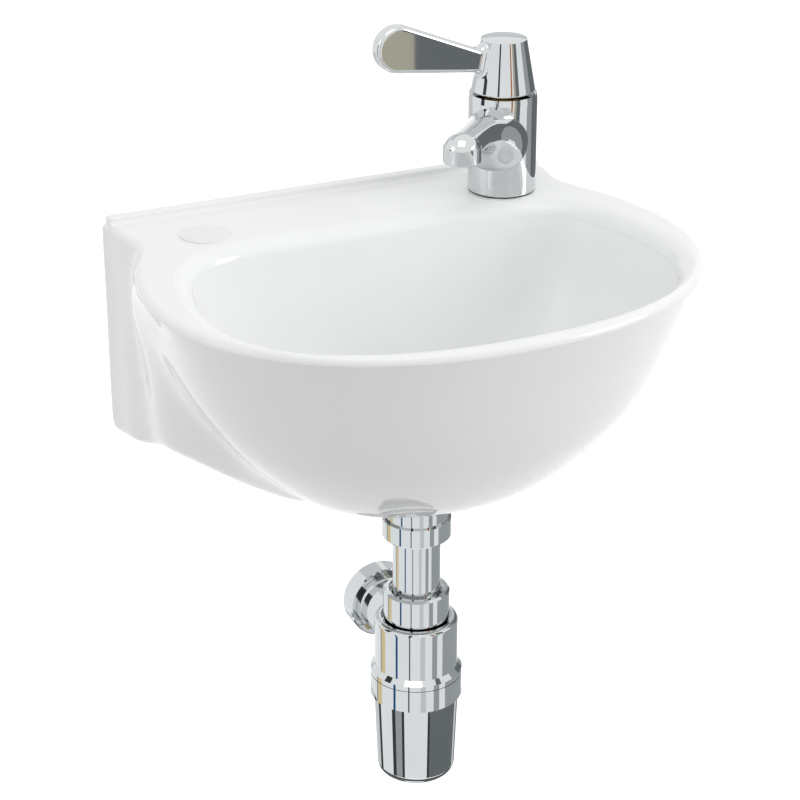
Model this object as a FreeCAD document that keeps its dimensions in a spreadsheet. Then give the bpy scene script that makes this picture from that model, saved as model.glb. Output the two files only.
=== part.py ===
import FreeCAD, Part
import math
import os
import Sketcher

# A wall-hung finger rinse basin with a quarter-turn lever tap and a bottle trap, in millimetres.
# X runs to the right, Y into the wall and Z up. The origin lies on the wall plane, midway between
# the two wall fixing holes.

SIZES = {
    # Ceramic: outside
    "basin_half_width": 180.0,
    "rim_front": 155.0,
    "rim_ahead": 11.0,
    "rim_rear_reach": 180.5,
    "rim_round": 5.0,
    "waste_to_wall": 142.0,
    "deck_above_fixings": 70.0,
    "outer_depth": 156.5,
    "foot_radius": 40.0,
    "slab_inset": 21.0,
    "slab_draft": 2.5,
    "slab_thick": 23.0,
    "slab_lift": 6.0,
    "flank_lift": 22.7,
    # Ceramic: inside of the bowl
    "rim_side_width": 28.0,
    "rim_front_width": 13.3,
    "bowl_ahead": 35.0,
    "bowl_rear": 64.0,
    "bowl_floor_thick": 26.5,
    "bowl_floor_radius": 35.0,
    "bowl_edge_drop": 10.0,
    "bowl_edge_side": 14.0,
    "bowl_edge_front": 6.0,
    # Ceramic: upstand along the wall
    "upstand_height": 4.5,
    "upstand_thick": 7.0,
    "upstand_cove": 3.0,
    "upstand_round": 1.4,
    "upstand_inset": 2.0,
    # Ceramic: hollow behind the bowl, and holes
    "deck_thick": 15.0,
    "back_wall": 14.0,
    "hollow_inset_top": 31.0,
    "hollow_inset_foot": 35.0,
    "hollow_side_top": 55.0,
    "hollow_side_foot": 59.0,
    "hollow_front_inset_top": 41.0,
    "hollow_front_inset_foot": 91.0,
    "hollow_front_top": 69.0,
    "hollow_front_foot": 89.0,
    "hollow_middle_top": 59.0,
    "hollow_middle_foot": 83.0,
    "fixing_spacing": 140.0,
    "fixing_radius": 6.5,
    "tap_inset": 73.0,
    "tap_to_wall": 50.0,
    "tap_hole_radius": 14.0,
    "waste_hole_radius": 22.0,
    "waste_bed": 12.0,
    "waste_recess_radius": 34.0,
    # Stopper of the spare tap hole
    "stopper_radius": 16.5,
    "stopper_edge": 0.8,
    "stopper_crown": 0.8,
    "stopper_boss_radius": 13.4,
    "stopper_boss_length": 8.0,
    "stopper_stud_radius": 6.0,
    "stopper_stud_length": 28.0,
    "stopper_washer_radius": 18.0,
    "stopper_washer_thick": 2.0,
    "stopper_nut_radius": 11.0,
    "stopper_nut_thick": 8.0,
    # Tap: column, tail and foot
    "foot_seal_radius": 22.0,
    "foot_seal_thick": 0.8,
    "column_radius": 23.0,
    "column_height": 62.8,
    "column_foot_round": 1.0,
    "tail_radius": 10.48,
    "tail_length": 55.0,
    "tail_free_length": 26.0,
    "tail_groove_radius": 9.7,
    "tail_groove_width": 2.0,
    "tail_bore_radius": 6.0,
    "clamp_washer_radius": 17.0,
    "clamp_washer_thick": 3.0,
    "tap_backnut_radius": 15.6,
    "tap_backnut_thick": 9.0,
    # Tap: valve chamber
    "chamber_rise": 21.2,
    "chamber_height": 32.0,
    "chamber_radius": 15.0,
    # Tap: spout and nozzle
    "spout_reach": 79.0,
    "spout_root_out": 8.0,
    "spout_root_wide": 21.0,
    "spout_root_tall": 23.5,
    "spout_neck_wide": 11.0,
    "spout_neck_tall": 9.2,
    "spout_root_level": 38.0,
    "spout_neck_level": 51.5,
    "passage_level": 49.0,
    "passage_radius": 4.5,
    "nozzle_radius": 12.1,
    "nozzle_shoulder": 53.0,
    "nozzle_crown": 8.7,
    "nozzle_spigot_radius": 10.3,
    "nozzle_spigot_length": 5.0,
    "nozzle_bore_radius": 8.2,
    "nozzle_bore_rise": 3.4,
    # Tap: outlet ring and what it holds
    "outlet_ring_radius": 12.5,
    "outlet_ring_height": 10.5,
    "outlet_ring_round": 1.0,
    "outlet_lip_thick": 1.2,
    "outlet_lip_radius": 8.7,
    "straightener_radius": 9.9,
    "straightener_thick": 3.2,
    "straightener_hole_radius": 1.3,
    "straightener_pitch_radius": 5.4,
    # Tap: quarter-turn valve
    "seat_seal_radius": 8.8,
    "seat_seal_thick": 2.0,
    "disc_radius": 9.0,
    "disc_thick": 3.0,
    "disc_port_radius": 2.2,
    "disc_port_offset": 4.6,
    "disc_gap": 0.1,
    "valve_radius": 12.0,
    "valve_lift": 1.0,
    "valve_port_radius": 2.4,
    "valve_flange_radius": 14.0,
    "valve_flange_height": 9.0,
    "valve_neck_radius": 9.0,
    "valve_neck_height": 8.0,
    "drive_radius": 8.0,
    "drive_height": 4.6,
    "spindle_radius": 4.0,
    "seal_wire_radius": 0.9,
    "seal_spacing": 6.0,
    "seal_drop": 6.0,
    "clip_radius": 6.5,
    "clip_thick": 1.0,
    "clip_depth": 0.8,
    "clip_lift": 0.2,
    "clip_mouth": 4.0,
    # Tap: collar, lever hub, paddle, screw and cap
    "collar_height": 4.2,
    "collar_taper": 0.4,
    "hub_gap": 1.3,
    "hub_foot_radius": 21.5,
    "hub_top_radius": 15.4,
    "hub_height": 34.5,
    "hub_foot_round": 1.2,
    "paddle_blend": 6.0,
    "hub_hollow_radius": 15.5,
    "hub_web_lift": 1.8,
    "hub_web_thick": 6.0,
    "hub_well_radius": 11.0,
    "paddle_root_out": 14.0,
    "paddle_root_foot": 14.5,
    "paddle_root_top": 28.0,
    "paddle_end_out": 78.3,
    "paddle_end_level": 37.4,
    "paddle_end_radius": 15.7,
    "paddle_thick": 11.0,
    "paddle_round": 3.0,
    "screw_head_radius": 4.5,
    "screw_head_thick": 3.0,
    "screw_radius": 2.5,
    "screw_length": 12.0,
    "cap_edge": 0.7,
    "cap_crown": 1.2,
    "cap_plug_length": 4.0,
    # Waste
    "waste_flange_radius": 31.0,
    "waste_flange_thick": 2.5,
    "waste_seal_thick": 1.5,
    "waste_tail_radius": 20.95,
    "waste_tail_bore": 18.5,
    "waste_tail_length": 59.0,
    "waste_slot_radius": 3.2,
    "waste_slot_pitch": 11.0,
    "waste_lower_seal_thick": 3.0,
    "waste_lower_seal_radius": 30.0,
    "waste_backnut_radius": 28.5,
    "waste_backnut_thick": 8.0,
    # Trap: inlet
    "tube_radius": 16.0,
    "tube_wall": 1.2,
    "tube_length": 167.0,
    "tube_flange_radius": 20.0,
    "tube_flange_thick": 2.0,
    "inlet_seal_thick": 2.0,
    "inlet_nut_radius": 23.0,
    "inlet_nut_grip": 6.0,
    "inlet_nut_lip": 4.0,
    "nut_chamfer": 1.5,
    # Trap: body, measured from the foot of the waste tail
    "neck_drop": 59.0,
    "neck_radius": 19.8,
    "top_seal_thick": 6.0,
    "top_nut_radius": 22.3,
    "top_nut_lip": 5.7,
    "top_nut_grip": 11.0,
    "top_nut_sink": 2.2,
    "body_radius": 28.0,
    "body_lip_drop": 9.5,
    "body_lip_round": 3.0,
    "body_recess_radius": 24.0,
    "body_recess_drop": 13.0,
    "body_roof": 4.5,
    "body_bore_radius": 25.0,
    "body_drop": 45.0,
    "body_flange_radius": 31.0,
    "body_flange_thick": 3.5,
    "body_cove": 3.0,
    "skirt_radius": 29.4,
    "skirt_length": 6.5,
    # Trap: side outlet, measured from the trap's axis
    "outlet_drop": 25.6,
    "outlet_window_radius": 10.4,
    "stub_start": 24.4,
    "stub_radius": 19.0,
    "stub_thread_start": 43.0,
    "stub_thread_radius": 21.5,
    "stub_end": 57.0,
    "stub_bore_start": 33.0,
    "stub_bore_radius": 14.0,
    "socket_start": 45.0,
    "socket_radius": 16.2,
    "outlet_seal_radius": 20.5,
    "outlet_seal_thick": 4.0,
    "outlet_nut_radius": 25.3,
    "outlet_nut_start": 50.0,
    "outlet_nut_lip": 3.0,
    "outlet_nut_chamfer": 0.8,
    # Trap: bottle and its collar
    "bottle_seal_thick": 2.3,
    "bottle_flange_thick": 5.0,
    "bottle_top_radius": 28.6,
    "bottle_foot_radius": 26.1,
    "bottle_height": 69.0,
    "bottle_wall": 1.5,
    "bottle_round": 7.0,
    "trap_collar_radius": 31.0,
    "trap_collar_gap": 0.5,
    "trap_collar_lip": 2.2,
    # Shared clearances and the overrun of every cut
    "slip_gap": 0.3,
    "thread_gap": 0.15,
    "spindle_gap": 0.08,
    "overrun": 20.0,
}

# Shapes of the ceramic, as shares of the sizes above
RIM_FULLNESS = 2.13
BOWL_FRONT_FULLNESS = 2.3
BOWL_REAR_FULLNESS = 7.0
BOWL_TAPER_SHARE = 0.18
BOWL_TAPER_PASSES = 12
FRONT_STEPS = 8
BOWL_STEPS = 64
# Along the sides, as shares of the way from the widest line to the slab's face
SIDE_SHARES = (0.11, 0.23, 0.35, 0.47, 0.58, 0.68, 0.78, 0.87, 0.95, 1.03, 1.11, 1.22)
BLEND_END_SHARE = 1.0
RIM_BLEND_SHARE = 0.58
FLARE_SHARES = (0.35, 0.22, -0.023, -0.297, -0.434)
FLANK_END_SHARES = (0.20, 1.20)
BEHIND_WALL_SHARE = 2.0
# Where the bowl's rolled edge starts and ends to widen, as shares of the way from its front to its rear
EDGE_END_SHARES = (0.05, 0.50)
# Down the outside: share of the depth, share of the outline
OUTER_BOWL_SHARES = ((0.23, 0.93), (0.465, 0.845), (0.685, 0.715), (0.85, 0.569), (0.955, 0.331))
OUTER_SLAB_SHARES = ((0.30, 1.0), (0.58, 1.0), (0.90, 1.0), (1.0, 0.968), (1.005, 0.574))
# Down the inside: share of the depth, share of the way from the floor's edge to the rim
INNER_BOWL_SHARES = (
    (0.23, 0.95), (0.42, 0.88), (0.62, 0.77), (0.79, 0.62), (0.92, 0.41), (0.985, 0.17), (1.0, 0.0),
)
SLAB_CORNER_SHARE = 0.85
RIM_ROLL_ANGLES = (90.0, 67.5, 45.0, 22.5, 0.0)
INNER_ROLL_ANGLES = (80.0, 60.0, 40.0, 20.0, 0.0)
# Along the spout: share of the reach, share of the change from root to neck
SPOUT_SHARES = ((0.0, 0.0), (0.17, 0.05), (0.28, 0.36), (0.38, 0.68), (0.50, 0.89), (0.68, 1.0), (1.0, 1.05))
SPOUT_HEADING = 223.5
WASTE_SLOTS = 6
STRAIGHTENER_HOLES = 8

# How close two lengths lie when they count as the same
NEAR = 1e-6

V = FreeCAD.Vector
Z_AXIS = V(0, 0, 1)
doc = FreeCAD.newDocument("finger_rinse_basin")
sheet = doc.addObject("Spreadsheet::Sheet", "Sizes")


class Length:
    """A length and the sheet expression that gives it, so that sums of sizes stay bound to the sheet."""

    def __init__(self, text, value):
        self.text = text
        self.value = value

    def __add__(self, other):
        return Length(f"({self.text} + {other.text})", self.value + other.value)

    def __sub__(self, other):
        return Length(f"({self.text} - {other.text})", self.value - other.value)

    def __mul__(self, share):
        return Length(f"({self.text} * {share})", self.value * share)

    def __neg__(self):
        return Length(f"(0 - {self.text})", -self.value)

    def half(self):
        return Length(f"({self.text} / 2)", self.value / 2)


class Sheet:
    """The sizes of the sheet, each read back as a Length."""

    def __init__(self, table):
        for row, (name, value) in enumerate(table.items(), start=1):
            sheet.set(f"A{row}", str(value))
            sheet.setAlias(f"A{row}", name)
        doc.recompute()
        for name in table:
            setattr(self, name, Length(f"Sizes.{name}", float(sheet.get(name))))


S = Sheet(SIZES)
NIL = Length("0", 0.0)

# Levels of the ceramic and places of the two axes
deck = S.deck_above_fixings
slab_half = S.basin_half_width - S.slab_inset
slab_height = S.outer_depth - S.slab_lift
bowl_half = S.basin_half_width - S.rim_side_width
bowl_front = S.rim_front - S.rim_front_width
bowl_depth = S.outer_depth - S.bowl_floor_thick
tap_x = S.basin_half_width - S.tap_inset
tap_y = -S.tap_to_wall
waste_y = -S.waste_to_wall
under_deck = deck - S.deck_thick
bowl_floor = deck - bowl_depth
bed_top = bowl_floor - S.waste_flange_thick - S.waste_seal_thick
bed_foot = bed_top - S.waste_bed
TAP = (tap_x, tap_y)
SPARE = (-tap_x, tap_y)
WASTE = (NIL, waste_y)


def bind(thing, prop, length):
    """Tie one size of an object to the sheet."""
    thing.setExpression(prop, length.text)


def place(thing, x, y, z, rotation=None):
    """Set an object at a place that follows the sheet, turned if a rotation is given."""
    turn = rotation or FreeCAD.Rotation()
    thing.Placement = FreeCAD.Placement(V(x.value, y.value, z.value), turn)
    bind(thing, "Placement.Base.x", x)
    bind(thing, "Placement.Base.y", y)
    bind(thing, "Placement.Base.z", z)


def new_body(label):
    """A body of the document under its label."""
    body = doc.addObject("PartDesign::Body", label)
    body.Label = label
    return body


def new_sketch(body, name, role):
    """A sketch on one of the body's own origin planes."""
    sketch = body.newObject("Sketcher::SketchObject", name)
    plane = [item for item in body.Origin.OriginFeatures if item.Role == role][0]
    sketch.AttachmentSupport = (plane, [""])
    sketch.MapMode = "FlatFace"
    return sketch


def pin(sketch, shape, end, across, up):
    """Hold one point of a sketch at two lengths from its origin."""
    for kind, axis, length in (("DistanceX", -2, across), ("DistanceY", -1, up)):
        if length.value == 0:
            sketch.addConstraint(Sketcher.Constraint("PointOnObject", shape, end, axis))
        else:
            index = sketch.addConstraint(Sketcher.Constraint(kind, -1, 1, shape, end, length.value))
            bind(sketch, f"Constraints[{index}]", length)


def dome_arc(start, end):
    """The arc from one point to another whose centre lies on the upright axis."""
    rise = (start.x ** 2 - end.x ** 2 + start.y ** 2 - end.y ** 2) / (2 * (start.y - end.y))
    centre = V(0, rise, 0)
    radius = (start - centre).Length
    first = math.atan2(end.y - rise, end.x)
    last = math.atan2(start.y - rise, start.x)
    circle = Part.Circle(centre, Z_AXIS, radius)
    return Part.ArcOfCircle(circle, min(first, last), max(first, last)), first > last


def closed_outline(sketch, points, domes=()):
    """Draw a closed outline of pinned corners, with straight sides or, where named, domed ones."""
    spots = [V(across.value, up.value, 0) for across, up in points]
    ends = []
    for i, spot in enumerate(spots):
        following = spots[(i + 1) % len(spots)]
        if i in domes:
            arc, start_first = dome_arc(spot, following)
            sketch.addGeometry(arc)
            ends.append((1, 2) if start_first else (2, 1))
        else:
            sketch.addGeometry(Part.LineSegment(spot, following))
            ends.append((1, 2))
    for i, (across, up) in enumerate(points):
        after = (i + 1) % len(points)
        sketch.addConstraint(Sketcher.Constraint("Coincident", i, ends[i][1], after, ends[after][0]))
        pin(sketch, i, ends[i][0], across, up)
    for i in domes:
        sketch.addConstraint(Sketcher.Constraint("PointOnObject", i, 3, -2))


def round_edges(body, name, radius, wanted):
    """Round the edges of a body's solid that a test picks out."""
    doc.recompute()
    base = body.Tip
    edges = [f"Edge{i}" for i, edge in enumerate(base.Shape.Edges, start=1) if wanted(edge)]
    if not edges:
        raise RuntimeError(f"{name}: no edge to round")
    fillet = body.newObject("PartDesign::Fillet", name)
    fillet.Base = (base, edges)
    bind(fillet, "Radius", radius)
    doc.recompute()


def turned(label, at, base, profile, rounds=(), domes=(), rotation=None):
    """A piece turned about an axis through a place.

    The profile holds pairs of radius and level, the base is the lowest level, and the rounds hold
    a radius and a level of an edge and the size of its round. With a rotation the levels run along
    the turned axis, and the base is where the piece starts along it.
    """
    body = new_body(label)
    sketch = new_sketch(body, f"{label}_profile", "XZ_Plane")
    closed_outline(sketch, [(radius, level - base) for radius, level in profile], domes)
    turn = body.newObject("PartDesign::Revolution", f"{label}_turn")
    turn.Profile = sketch
    turn.ReferenceAxis = (sketch, ["V_Axis"])
    for i, (radius, level, size) in enumerate(rounds):
        height = (level - base).value

        def on_edge(edge, radius=radius.value, height=height):
            curve = edge.Curve
            if not isinstance(curve, Part.Circle):
                return False
            return math.isclose(curve.Radius, radius, abs_tol=NEAR) and abs(curve.Center.z - height) < NEAR

        round_edges(body, f"{label}_round_{i}", size, on_edge)
    if rotation is None:
        place(body, at[0], at[1], base)
    else:
        place(body, at[0], at[1] + base, at[2], rotation)
    return body


def ring(label, at, inner, outer, foot, top):
    """A plain ring or washer."""
    return turned(label, at, foot, [(inner, foot), (outer, foot), (outer, top), (inner, top)])


def cylinder(name, x, y, z, radius, height, rotation=None):
    """A cylinder that starts at a place and runs up, or along a turned axis."""
    solid = doc.addObject("Part::Cylinder", name)
    bind(solid, "Radius", radius)
    bind(solid, "Height", height)
    place(solid, x, y, z, rotation)
    return solid


def box(name, x, y, z, length, width, height):
    """A box from its least corner."""
    solid = doc.addObject("Part::Box", name)
    bind(solid, "Length", length)
    bind(solid, "Width", width)
    bind(solid, "Height", height)
    place(solid, x, y, z)
    return solid


def joined(name, things):
    """Several solids made one."""
    fuse = doc.addObject("Part::MultiFuse", name)
    fuse.Shapes = things
    return fuse


def cut(label, base, tools):
    """A solid less its cutters."""
    tool = tools[0] if len(tools) == 1 else joined(f"{label}_cutters", tools)
    result = doc.addObject("Part::Cut", label)
    result.Base = base
    result.Tool = tool
    result.Label = label
    doc.recompute()
    if result.Shape.Volume >= base.Shape.Volume:
        raise RuntimeError(f"{label}: its cutters take nothing away")
    return result


def hex_nut(label, at, foot, height, corner_radius, bore):
    """A six-sided nut."""
    prism = doc.addObject("Part::Prism", f"{label}_blank")
    prism.Polygon = 6
    bind(prism, "Circumradius", corner_radius)
    bind(prism, "Height", height)
    place(prism, at[0], at[1], foot)
    hole = cylinder(f"{label}_bore", at[0], at[1], foot - S.overrun, bore, height + S.overrun + S.overrun)
    return cut(label, prism, [hole])


ALONG_WALL = FreeCAD.Rotation(V(1, 0, 0), -90)
SIDEWAYS = FreeCAD.Rotation(V(0, 1, 0), 90)
HALF_TURN = FreeCAD.Rotation(Z_AXIS, 180)


# Ceramic basin

def eased(share, start_share, end_share):
    """How far a change has come at a share of the way, eased so that it starts and ends without a crease."""
    way = min(max((share - start_share) / (end_share - start_share), 0.0), 1.0)
    return way ** 2 * (3 - 2 * way)


def rim_outline():
    """The rim's outline round from the front, with each point's share of the way to the slab's face."""
    half = S.basin_half_width.value
    widest = -S.rim_ahead.value
    to_slab = (S.rim_ahead + S.waste_to_wall - S.slab_thick).value
    front = (S.rim_front - S.rim_ahead).value
    power = 2 / RIM_FULLNESS
    points = []
    for step in range(FRONT_STEPS + 1):
        angle = math.radians(90 * step / FRONT_STEPS)
        across = half * math.sin(angle) ** power
        ahead = front * max(math.cos(angle), 0) ** power
        points.append((across, widest - ahead, -ahead / to_slab))
    for share in SIDE_SHARES:
        back = to_slab * share
        short_of_wall = min(1 - (back - to_slab) / S.slab_thick.value, 1.0)
        slab = slab_half.value - S.slab_draft.value * short_of_wall
        across = half * math.cos(back / S.rim_rear_reach.value)
        across += (slab - across) * eased(share, RIM_BLEND_SHARE, BLEND_END_SHARE)
        points.append((across, widest + back, share))
    end = (S.waste_to_wall + S.overrun).value
    corner = slab_half.value * SLAB_CORNER_SHARE
    points += [(across, end, BEHIND_WALL_SHARE) for across in (corner, corner / 2, 0.0)]
    return points + [(-x, y, share) for x, y, share in points[-2:0:-1]]


def outward(outline, i):
    """The direction out of the outline at one of its points."""
    before = outline[i - 1]
    after = outline[(i + 1) % len(outline)]
    along = V(after[0] - before[0], after[1] - before[1], 0).normalize()
    return V(along.y, -along.x, 0)


def roll_line(outline, angle):
    """A line round the rim's rolled edge, from 90 degrees on the deck to 0 on the side."""
    reach = S.rim_round.value * (1 - math.cos(math.radians(angle)))
    drop = S.rim_round.value * (1 - math.sin(math.radians(angle)))
    return [V(x, y, -drop) - outward(outline, i) * reach for i, (x, y, share) in enumerate(outline)]


def wall_line(outline, step):
    """A line round the outside, part of the way down to the foot."""
    bowl_drop, bowl_share = OUTER_BOWL_SHARES[step]
    slab_drop, slab_share = OUTER_SLAB_SHARES[step]
    widest = -S.rim_ahead.value * bowl_share
    slab_face = (S.waste_to_wall - S.slab_thick).value
    line = []
    for x, y, share in outline:
        across = x * bowl_share
        back = y * bowl_share
        if share > 0:
            across = math.copysign(S.basin_half_width.value * bowl_share, x)
            back = max(y, slab_face) if share > 1 else widest + (slab_face - widest) * share
        across += (x * slab_share - across) * eased(share, FLARE_SHARES[step], BLEND_END_SHARE)
        side_height = slab_height.value - S.flank_lift.value * (1 - eased(share, *FLANK_END_SHARES))
        drop = S.outer_depth.value * bowl_drop
        drop += (side_height * slab_drop - drop) * eased(share, 0.0, BLEND_END_SHARE)
        line.append(V(across, back, -drop))
    return line


def foot_line(outline):
    """The round foot of the bowl."""
    line = []
    for x, y, share in outline:
        inward = S.foot_radius.value / math.hypot(x, y)
        line.append(V(x * inward, y * inward, -S.outer_depth.value))
    return line


def loft_through(lines, spacing):
    """A solid through closed smooth lines that all share one spacing of their points."""
    wires = []
    for line in lines:
        curve = Part.BSplineCurve()
        curve.interpolate(Points=line, PeriodicFlag=True, Parameters=spacing)
        wires.append(Part.Wire([curve.toShape()]))
    return Part.makeLoft(wires, True, False)


def spaced(line):
    """Where the points of a closed line lie along it, from 0 to 1."""
    places = [0.0]
    for i, point in enumerate(line):
        places.append(places[-1] + (line[(i + 1) % len(line)] - point).Length)
    return [spot / places[-1] for spot in places]


def inner_outline():
    """The inside of the bowl just below its rolled edge, round from the front."""
    ahead = S.bowl_ahead.value
    points = []
    for step in range(BOWL_STEPS):
        angle = 2 * math.pi * step / BOWL_STEPS
        front = math.cos(angle) >= 0
        power = BOWL_FRONT_FULLNESS if front else BOWL_REAR_FULLNESS
        depth = bowl_front - S.bowl_ahead if front else S.bowl_rear + S.bowl_ahead
        along = abs(math.cos(angle) / depth.value)
        taper = 1.0
        for once in range(BOWL_TAPER_PASSES):
            across = abs(math.sin(angle) / (bowl_half.value * taper))
            reach = (across ** power + along ** power) ** (-1 / power)
            taper = 1 - (0 if front else BOWL_TAPER_SHARE * (reach * along) ** 2)
        points.append((reach * math.sin(angle), -ahead - reach * math.cos(angle)))
    return points


def inner_line(drop_share, reach_share):
    """A line round the inside of the bowl, between the rim and the edge of the floor."""
    line = []
    for x, y in inner_outline():
        rim = V(x, y, 0)
        floor = rim * (S.bowl_floor_radius.value / rim.Length)
        line.append(floor + (rim - floor) * reach_share - Z_AXIS * (bowl_depth.value * drop_share))
    return line


def inner_roll_line(angle):
    """A line round the bowl's rolled inner edge, from nearly level on the deck to upright below it."""
    start = math.radians(INNER_ROLL_ANGLES[0])
    turn = math.radians(angle)
    drop = S.bowl_edge_drop.value * (math.sin(start) - math.sin(turn))
    outline = inner_outline()
    line = []
    for i, (x, y) in enumerate(outline):
        rearward = (1 - math.cos(2 * math.pi * i / BOWL_STEPS)) / 2
        wider = (S.bowl_edge_side - S.bowl_edge_front).value * eased(rearward, *EDGE_END_SHARES)
        width = S.bowl_edge_front.value + wider
        line.append(V(x, y, -drop) + outward(outline, i) * (width * (1 - math.cos(turn))))
    return line


def bowl_inside():
    """The space inside the bowl, run up past the deck."""
    edge = inner_roll_line(0.0)
    spacing = spaced(edge)
    rolls = [inner_roll_line(angle) for angle in INNER_ROLL_ANGLES]
    mouth = [point + Z_AXIS * S.overrun.value for point in rolls[0]]
    wall = loft_through([edge] + [inner_line(drop, reach) for drop, reach in INNER_BOWL_SHARES], spacing)
    return wall.fuse([loft_through(rolls, spacing), loft_through([mouth, rolls[0]], spacing)])


def bowl_form():
    """The ceramic's smooth outside and inside, before any hole."""
    outline = rim_outline()
    edge = roll_line(outline, 0.0)
    spacing = spaced(edge)
    roll = loft_through([roll_line(outline, angle) for angle in RIM_ROLL_ANGLES], spacing)
    steps = range(len(OUTER_BOWL_SHARES))
    wall = loft_through([edge] + [wall_line(outline, i) for i in steps] + [foot_line(outline)], spacing)
    outside = wall.fuse(roll)
    reach = S.basin_half_width + S.rim_front + S.overrun
    drop = S.outer_depth + S.overrun
    wide = (reach + reach).value
    high = (drop + S.overrun).value
    room_corner = V(-reach.value, S.waste_to_wall.value - wide, -drop.value)
    return outside.common(Part.makeBox(wide, wide, high, room_corner)).cut(bowl_inside())


def upstand():
    """The low ridge along the wall, with a cove down to the deck and rounded edges."""
    body = new_body("upstand")
    sketch = new_sketch(body, "upstand_section", "YZ_Plane")
    sink = S.rim_round
    cove_foot = S.upstand_thick + S.upstand_cove
    corners = [
        (NIL, NIL),
        (NIL, sink + S.upstand_height),
        (S.upstand_thick, sink + S.upstand_height),
        (S.upstand_thick, sink + S.upstand_cove),
        (cove_foot, sink),
        (cove_foot, NIL),
    ]
    spots = [V(across.value, up.value, 0) for across, up in corners]
    cove = 3
    for i, spot in enumerate(spots):
        following = spots[(i + 1) % len(spots)]
        if i == cove:
            centre = V(following.x, spot.y, 0)
            circle = Part.Circle(centre, Z_AXIS, (spot - centre).Length)
            sketch.addGeometry(Part.ArcOfCircle(circle, math.pi, 1.5 * math.pi))
        else:
            sketch.addGeometry(Part.LineSegment(spot, following))
    for i, (across, up) in enumerate(corners):
        sketch.addConstraint(Sketcher.Constraint("Coincident", i, 2, (i + 1) % len(corners), 1))
        pin(sketch, i, 1, across, up)
    index = sketch.addConstraint(Sketcher.Constraint("DistanceX", -1, 1, cove, 3, cove_foot.value))
    bind(sketch, f"Constraints[{index}]", cove_foot)
    pad = body.newObject("PartDesign::Pad", "upstand_pad")
    pad.Profile = sketch
    pad.SideType = "Symmetric"
    half = slab_half - S.upstand_inset
    bind(pad, "Length", half + half)
    top = (sink + S.upstand_height).value
    thick = S.upstand_thick.value

    def on_ridge(edge):
        span = edge.BoundBox
        front_top = abs(span.ZMin - top) < NEAR and span.YMin > thick / 2
        end_top = abs(span.ZMin - top) < NEAR and span.XLength < thick
        end_front = span.ZLength > NEAR and abs(span.YMin - thick) < NEAR and span.YLength < NEAR
        return front_top or end_top or end_front

    round_edges(body, "upstand_round", S.upstand_round, on_ridge)
    place(body, NIL, NIL, deck - sink, HALF_TURN)
    return body


def rear_hollow():
    """The open-bottomed hollow behind the bowl, where the fixings and tap tails are reached."""
    top = under_deck.value
    foot = (deck - S.outer_depth - S.overrun).value
    wires = []
    for inset, side, front_inset, front, middle, level in (
        (S.hollow_inset_top, S.hollow_side_top, S.hollow_front_inset_top, S.hollow_front_top,
         S.hollow_middle_top, top),
        (S.hollow_inset_foot, S.hollow_side_foot, S.hollow_front_inset_foot, S.hollow_front_foot,
         S.hollow_middle_foot, foot),
    ):
        right = [
            V((slab_half - inset).value, -S.back_wall.value, level),
            V((slab_half - inset).value, -side.value, level),
            V((slab_half - front_inset).value, -front.value, level),
        ]
        left = [V(-corner.x, corner.y, corner.z) for corner in reversed(right)]
        nose = [V(0, -middle.value, level)]
        wires.append(Part.makePolygon(right + nose + left + right[:1]))
    hollow = doc.addObject("Part::Feature", "rear_hollow")
    hollow.Shape = Part.makeLoft(wires, True, True)
    return hollow


def make_basin():
    """The ceramic with its upstand, hollow, tap holes, fixing holes and waste seat."""
    through = S.deck_thick + S.overrun + S.overrun
    flange_radius = S.waste_flange_radius + S.slip_gap
    recess_foot = deck - S.outer_depth - S.overrun
    cutters = [
        rear_hollow(),
        cylinder("tap_hole", tap_x, tap_y, under_deck - S.overrun, S.tap_hole_radius, through),
        cylinder("spare_hole", -tap_x, tap_y, under_deck - S.overrun, S.tap_hole_radius, through),
        cylinder("waste_hole", *WASTE, recess_foot, S.waste_hole_radius, bed_top - recess_foot + S.overrun),
        cylinder("flange_seat", *WASTE, bed_top, flange_radius, bowl_floor - bed_top + S.overrun),
        cylinder("nut_recess", *WASTE, recess_foot, S.waste_recess_radius, bed_foot - recess_foot),
    ]
    for side, x in (("left", -S.fixing_spacing.half()), ("right", S.fixing_spacing.half())):
        depth = S.back_wall + S.overrun + S.overrun
        start = -S.back_wall - S.overrun
        cutters.append(cylinder(f"{side}_fixing_hole", x, start, NIL, S.fixing_radius, depth, ALONG_WALL))
    ridge = upstand()
    doc.recompute()
    form = bowl_form()
    form.translate(V(0, waste_y.value, deck.value))
    solid = form.fuse(ridge.Shape)
    for cutter in cutters:
        solid = solid.cut(cutter.Shape)
    basin = doc.addObject("Part::Feature", "basin")
    basin.Label = "basin"
    basin.Shape = solid.Solids[0]
    return basin


# Stopper of the spare tap hole

def make_stopper():
    """The blanking disc with its stud, washer and nut."""
    stud_end = deck - S.stopper_stud_length
    boss_end = deck - S.stopper_boss_length
    edge = deck + S.stopper_edge
    washer_foot = under_deck - S.stopper_washer_thick
    profile = [
        (NIL, stud_end),
        (S.stopper_stud_radius, stud_end),
        (S.stopper_stud_radius, boss_end),
        (S.stopper_boss_radius, boss_end),
        (S.stopper_boss_radius, deck),
        (S.stopper_radius, deck),
        (S.stopper_radius, edge),
        (NIL, edge + S.stopper_crown),
    ]
    bore = S.stopper_stud_radius + S.thread_gap
    return [
        turned("tap_hole_stopper", SPARE, stud_end, profile, domes=(6,)),
        ring("stopper_washer", SPARE, bore, S.stopper_washer_radius, washer_foot, under_deck),
        hex_nut(
            "stopper_nut", SPARE, washer_foot - S.stopper_nut_thick, S.stopper_nut_thick,
            S.stopper_nut_radius, bore,
        ),
    ]


# Tap

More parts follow.
